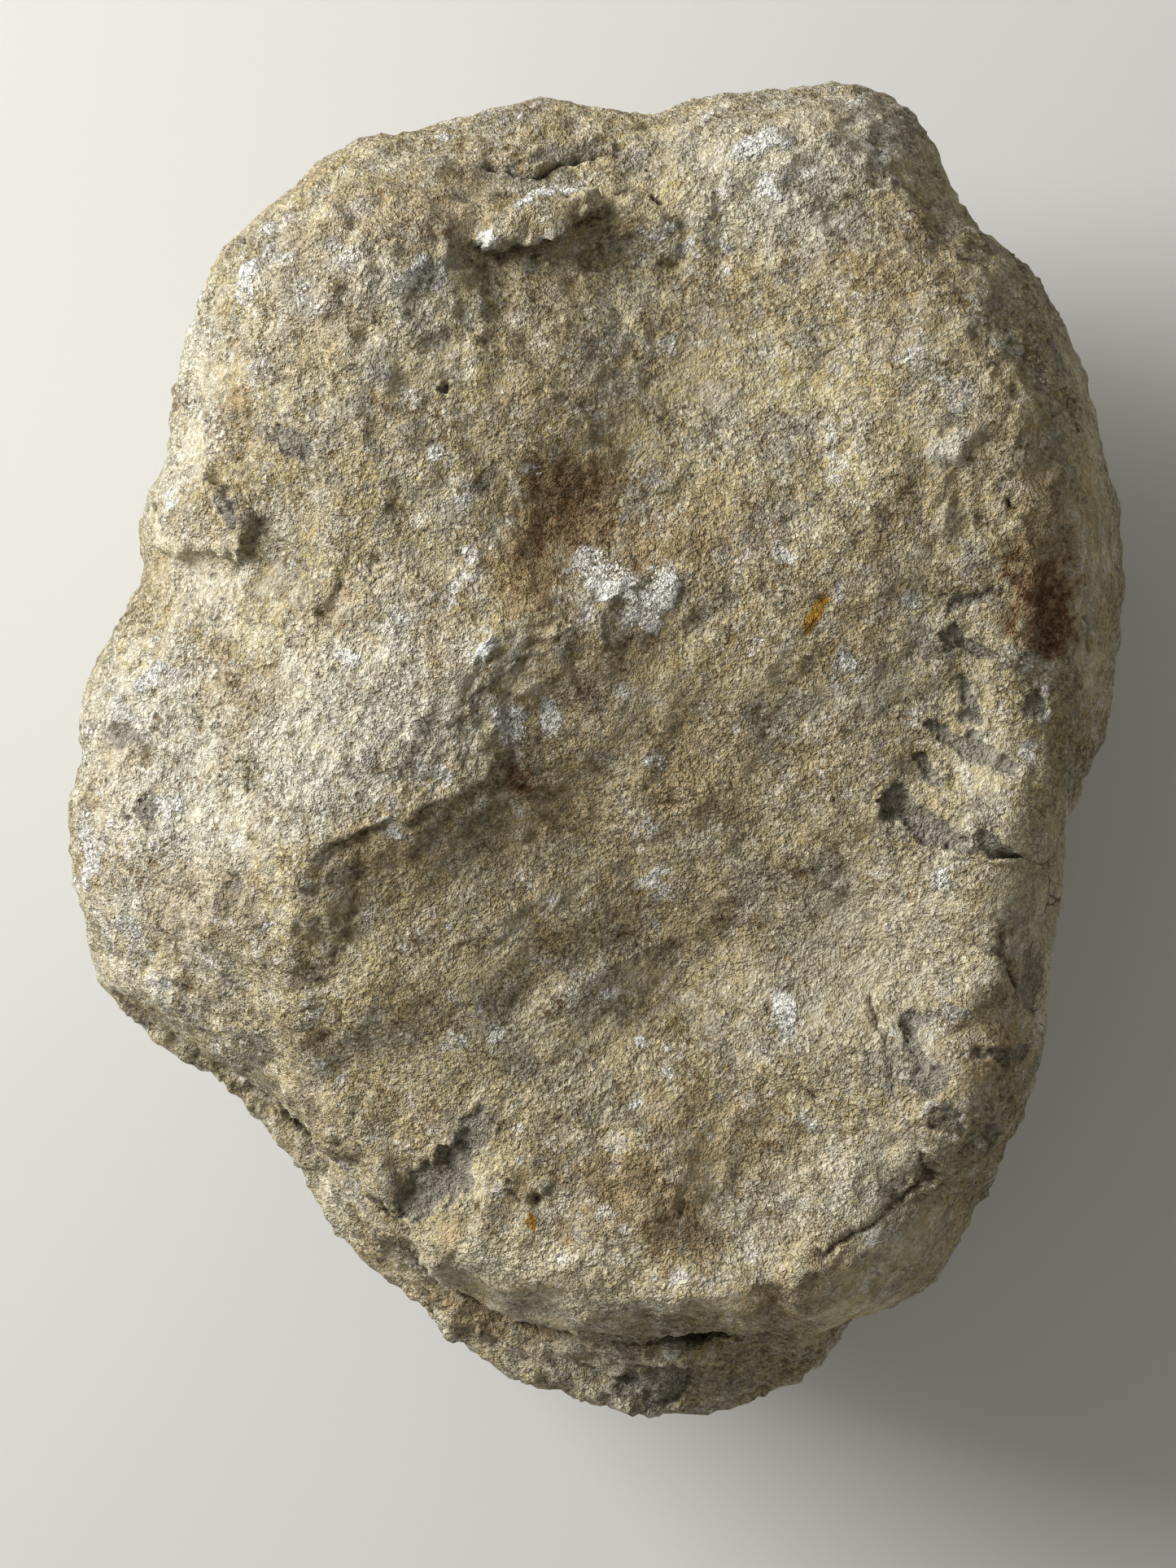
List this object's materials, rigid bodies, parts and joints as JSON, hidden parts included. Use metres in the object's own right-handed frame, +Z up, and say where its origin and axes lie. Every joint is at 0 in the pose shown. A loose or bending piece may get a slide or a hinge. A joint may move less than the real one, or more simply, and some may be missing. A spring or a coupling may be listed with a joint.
{
  "type": "quartz geode",
  "caption": "Closed, uncut quartz geode: a lumpy, flattened nodule in a chalky cream rind, lying on a small worn flat with its broad face up.",
  "frame": {"origin": "on the plane of the worn flat that the stone rests on, under the middle of its outline", "axes": "+Z up through the broad face, +Y along the stone's length towards its two-lobed end, +X across its width"},
  "size_m": [0.1286, 0.1638, 0.0778],
  "materials": {
    "chalky_rind": "dry, chalky, granular carbonate rind with rust stains, white crystal patches and grey scars"
  },
  "bodies": {
    "root": {"geode": "chalky_rind"}
  },
  "joints": []
}
